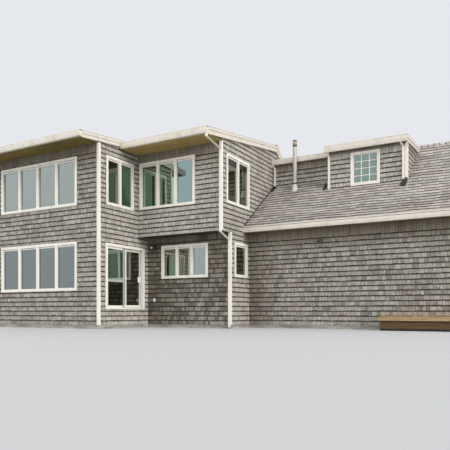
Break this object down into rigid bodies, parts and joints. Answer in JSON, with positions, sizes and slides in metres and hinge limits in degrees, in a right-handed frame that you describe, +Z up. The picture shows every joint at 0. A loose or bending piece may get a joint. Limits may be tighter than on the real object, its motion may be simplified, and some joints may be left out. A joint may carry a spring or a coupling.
{
  "type": "shingled beach house",
  "caption": "Two-storey cedar-shingled beach house: left block, stepped centre block with jetty, long wing with dormers, sliding patio door.",
  "frame": {"origin": "middle of the house's outline, on the lowest ground that it meets", "axes": "+X right along the fronts, +Y into the house, +Z up"},
  "size_m": [17.1, 12.597, 6.9738],
  "materials": {
    "concrete": "cast concrete",
    "floor_boards": "plain boards",
    "wall_shingles": "weathered grey shingles",
    "roof_shingles": "weathered roof shingles",
    "soffit_boards": "stained boards",
    "painted_trim": "cream paint",
    "window_glass": "clear double glazing",
    "vent_metal": "painted sheet metal",
    "black_metal": "black enamel",
    "dark_metal": "weathered dark metal",
    "white_plastic": "moulded",
    "handle_metal": "white enamel",
    "deck_wood": "stained decking"
  },
  "bodies": {
    "house": {"foundation": "concrete", "ground_floor": "floor_boards", "upper_floor": "floor_boards", "left_front_wall": "wall_shingles", "left_end_wall": "wall_shingles", "door_near_pier": "wall_shingles", "door_far_pier": "wall_shingles", "door_sill_wall": "wall_shingles", "left_side_wall": "wall_shingles", "centre_lower_wall": "wall_shingles", "centre_upper_wall": "wall_shingles", "centre_side_wall": "wall_shingles", "wing_front_wall": "wall_shingles", "wing_end_wall": "wall_shingles", "back_wall": "wall_shingles", "wing_left_gable": "wall_shingles", "left_roof": "roof_shingles", "centre_roof": "roof_shingles", "main_back_roof": "roof_shingles", "wing_front_roof": "roof_shingles", "wing_back_roof": "roof_shingles", "small_dormer_wall": "wall_shingles", "large_dormer_walls": "wall_shingles", "small_dormer_roof": "roof_shingles", "large_dormer_roof": "roof_shingles", "soffits": "soffit_boards", "house_gutters": "painted_trim", "dormer_gutters": "painted_trim", "rake_boards": "painted_trim", "dormer_rakes": "painted_trim", "corner_boards": "painted_trim", "ridge_caps": "roof_shingles", "left_windows": "painted_trim", "centre_windows": "painted_trim", "wing_windows": "painted_trim", "left_glass": "window_glass", "centre_glass": "window_glass", "wing_glass": "window_glass", "door_frame": "painted_trim", "fixed_panel": "painted_trim", "centre_downspout": "painted_trim", "dormer_downspouts": "painted_trim", "vent_pipe": "vent_metal", "wall_light": "black_metal", "outlet_cover": "white_plastic", "wall_vent": "dark_metal", "deck_boards": "deck_wood", "deck_frame": "deck_wood"},
    "door_leaf": {"sliding_panel": "painted_trim", "sliding_glass": "window_glass", "door_handle": "handle_metal"}
  },
  "joints": [
    {"name": "patio_door_slide", "type": "slide", "parent": "house", "child": "door_leaf", "axis": [0, -1, 0], "range_m": [0, 0.8]}
  ]
}
